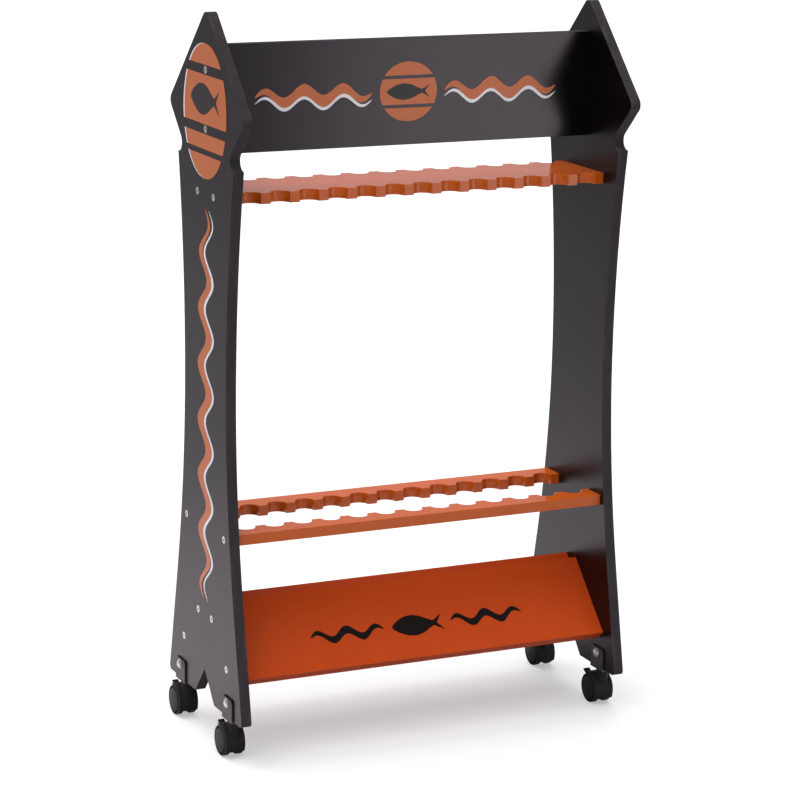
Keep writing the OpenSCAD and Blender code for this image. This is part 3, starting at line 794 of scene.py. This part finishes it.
class RACK_OT_fasteners(bpy.types.Operator):
    """Plates the screws, clamp bolts, nuts, kingpins, axles and brake pins"""

    bl_idname = "rack.fasteners"
    bl_label = "Fasteners"

    def execute(self, context):
        steel = zinc_steel(context.scene.rack_colours)
        for side in ("left", "right"):
            dress_node(f"{side}_panel_screws", steel)
        for corner in CORNERS:
            for piece in ("clamp_bolt", "clamp_nut", "kingpin", "axle", "brake_pin"):
                dress_node(f"{corner}_{piece}", steel)
        return {"FINISHED"}


class RACK_OT_casters(bpy.types.Operator):
    """Finishes the brackets, hoods, wheels and brake pedals"""

    bl_idname = "rack.casters"
    bl_label = "Casters"

    def execute(self, context):
        colours, sizes = context.scene.rack_colours, context.scene.rack_sizes
        coat = powder_coat(colours)
        body = caster_plastic(colours)
        for corner in CORNERS:
            dress_node(f"{corner}_bracket", coat)
            dress_node(f"{corner}_hood", body)
            dress_node(f"{corner}_brake_pedal", body)
            for side in ("outer", "inner"):
                tread = wheel_plastic(corner, side, colours, sizes.hub_groove, sizes.groove_width)
                dress_node(f"{corner}_{side}_wheel", tread)
        return {"FINISHED"}


class RACK_OT_studio(bpy.types.Operator):
    """Makes the floor, the lamps, the room's light and the camera"""

    bl_idname = "rack.studio"
    bl_label = "Studio"

    def execute(self, context):
        settings = context.scene.rack_studio
        context.scene.view_settings.view_transform = "Standard"
        self.make_floor(context)
        self.light_room(context, settings)
        self.hang_sun("key_sun", settings.key, KEY_SPREAD, KEY_TRAVEL)
        self.hang_sun("front_fill_sun", settings.fill, FILL_SPREAD, FILL_TRAVEL)
        self.stand_softbox(context, settings.softbox)
        self.place_camera(context)
        return {"FINISHED"}

    def make_floor(self, context):
        """A pale floor that keeps the rack's shadow and fades to white for the camera."""
        mesh = bmesh.new()
        bmesh.ops.create_grid(mesh, x_segments=FLOOR_CELLS, y_segments=FLOOR_CELLS, size=FLOOR_HALF)
        data = bpy.data.meshes.new("floor")
        mesh.to_mesh(data)
        mesh.free()
        floor = bpy.data.objects.new("floor", data)
        context.scene.collection.objects.link(floor)

        def dress(finish):
            camera = finish.node("ShaderNodeLightPath", output="Is Camera Ray")
            glossy = finish.node("ShaderNodeLightPath", output="Is Glossy Ray")
            place = finish.node("ShaderNodeTexCoord", output="Object")
            reach = finish.node("ShaderNodeVectorMath", {"operation": "LENGTH"}, {0: place}, "Value")
            across = finish.node("ShaderNodeSeparateXYZ", {}, {0: place}, "X")
            back = finish.node("ShaderNodeSeparateXYZ", {}, {0: place}, "Y")
            behind = across.from_to(*BEHIND_X) * back.from_to(*BEHIND_Y)
            beside = across.from_to(*BESIDE_X) * back.from_to(*BESIDE_Y)
            below = (1 - across.size().from_to(*BELOW_X)) * (1 - back.size().from_to(*BELOW_Y))
            pool = POOL_GLOW - reach.from_to(*POOL_REACH) * POOL_FALL + behind * BEHIND_GLOW
            pool = pool + beside * BESIDE_GLOW - below * BELOW_SHADE
            pale = finish.blend(camera, FLOOR_TONE, FLOOR_TONE_SEEN)
            matt = finish.node("ShaderNodeBsdfDiffuse", {}, {"Color": pale})
            tint = finish.blend(glossy, WHITE, GLOSS_TINT)
            strength = camera + glossy * pool
            glow = finish.node("ShaderNodeEmission", {}, {"Color": tint, "Strength": strength})
            share = camera * SEEN_SHARE + glossy * GLOSS_SHARE
            shader = finish.node("ShaderNodeMixShader", {}, {0: share, 1: matt, 2: glow})
            finish.node("ShaderNodeOutputMaterial", {}, {"Surface": shader})

        data.materials.append(material_named("pale_floor", dress))

    def light_room(self, context, settings):
        """White round the horizon for the camera and for gloss, a darker ceiling, and even light."""
        world = bpy.data.worlds.new("studio")
        world.use_nodes = True
        context.scene.world = world
        finish = Finish(world.node_tree)
        camera = finish.node("ShaderNodeLightPath", output="Is Camera Ray")
        glossy = finish.node("ShaderNodeLightPath", output="Is Glossy Ray")
        towards = finish.node("ShaderNodeTexCoord", output="Generated")
        height = finish.node("ShaderNodeSeparateXYZ", {}, {0: towards}, "Z")
        ceiling = 1 - height.from_to(*CEILING_RISE) * CEILING_SHADE
        even = (1 - camera) * (1 - glossy) * settings.ambient
        mirrored = glossy * (1 - camera)
        strength = camera + mirrored * ceiling * HORIZON_GLOW + even
        tint = finish.blend(mirrored, WHITE, GLOSS_TINT)
        background = finish.node("ShaderNodeBackground", {}, {"Color": tint, "Strength": strength})
        finish.node("ShaderNodeOutputWorld", {}, {"Surface": background})

    def hang_sun(self, name, strength, spread, travel):
        """A distant soft light that travels along the given direction."""
        lamp = bpy.data.lights.new(name, "SUN")
        lamp.energy = strength
        lamp.angle = spread
        sun = bpy.data.objects.new(name, lamp)
        sun.rotation_euler = travel.to_track_quat("-Z", "Y").to_euler()
        sun.visible_glossy = False
        bpy.context.scene.collection.objects.link(sun)

    def stand_softbox(self, context, power):
        """An upright box light at the front right, facing the rack."""
        lamp = bpy.data.lights.new("softbox", "AREA")
        lamp.shape = "RECTANGLE"
        lamp.size = SOFTBOX_WIDTH
        lamp.size_y = SOFTBOX_HEIGHT
        lamp.energy = power
        box = bpy.data.objects.new("softbox", lamp)
        box.location = SOFTBOX_PLACE
        aim = SOFTBOX_AIM - SOFTBOX_PLACE
        box.rotation_euler = aim.to_track_quat("-Z", "Y").to_euler()
        box.visible_camera = False
        box.visible_diffuse = False
        context.scene.collection.objects.link(box)

    def place_camera(self, context):
        """The camera at the photograph's own viewpoint."""
        lens = bpy.data.cameras.new("photo_camera")
        lens.sensor_width = SENSOR_MM
        lens.lens = FOCAL_PIXELS / PHOTO_SIZE * SENSOR_MM
        lens.clip_end = CAMERA_REACH
        lens.shift_y = CAMERA_SHIFT_Y
        camera = bpy.data.objects.new("photo_camera", lens)
        turn = Matrix.Rotation(-CAMERA_YAW, 4, "Z") @ Matrix.Rotation(math.pi / 2 - CAMERA_PITCH, 4, "X")
        camera.matrix_world = Matrix.Translation(CAMERA_PLACE) @ turn @ Matrix.Rotation(CAMERA_ROLL, 4, "Z")
        context.scene.collection.objects.link(camera)
        context.scene.camera = camera


class RACK_PT_sidebar(bpy.types.Panel):
    """Lists the rack's settings and its making"""

    bl_label = "Rod rack"
    bl_idname = "RACK_PT_sidebar"
    bl_space_type = "VIEW_3D"
    bl_region_type = "UI"
    bl_category = "Rod rack"

    def draw(self, context):
        layout = self.layout
        for group in (context.scene.rack_colours, context.scene.rack_sizes, context.scene.rack_studio):
            box = layout.box()
            for name in group.bl_rna.properties.keys():
                if name not in ("rna_type", "name"):
                    box.prop(group, name)
        for operator in MAKERS:
            layout.operator(operator.bl_idname)


GROUPS = (RackColours, RackSizes, StudioSettings)
MAKERS = (
    RACK_OT_panels, RACK_OT_rod_boards, RACK_OT_prints,
    RACK_OT_fasteners, RACK_OT_casters, RACK_OT_studio,
)


def register():
    for cls in (*GROUPS, *MAKERS, RACK_PT_sidebar):
        bpy.utils.register_class(cls)
    bpy.types.Scene.rack_colours = PointerProperty(type=RackColours)
    bpy.types.Scene.rack_sizes = PointerProperty(type=RackSizes)
    bpy.types.Scene.rack_studio = PointerProperty(type=StudioSettings)


def unregister():
    del bpy.types.Scene.rack_colours
    del bpy.types.Scene.rack_sizes
    del bpy.types.Scene.rack_studio
    for cls in reversed((*GROUPS, *MAKERS, RACK_PT_sidebar)):
        bpy.utils.unregister_class(cls)


def main():
    """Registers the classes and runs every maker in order."""
    register()
    bpy.ops.rack.panels()
    bpy.ops.rack.rod_boards()
    bpy.ops.rack.prints()
    bpy.ops.rack.fasteners()
    bpy.ops.rack.casters()
    bpy.ops.rack.studio()


if __name__ == "__main__":
    main()
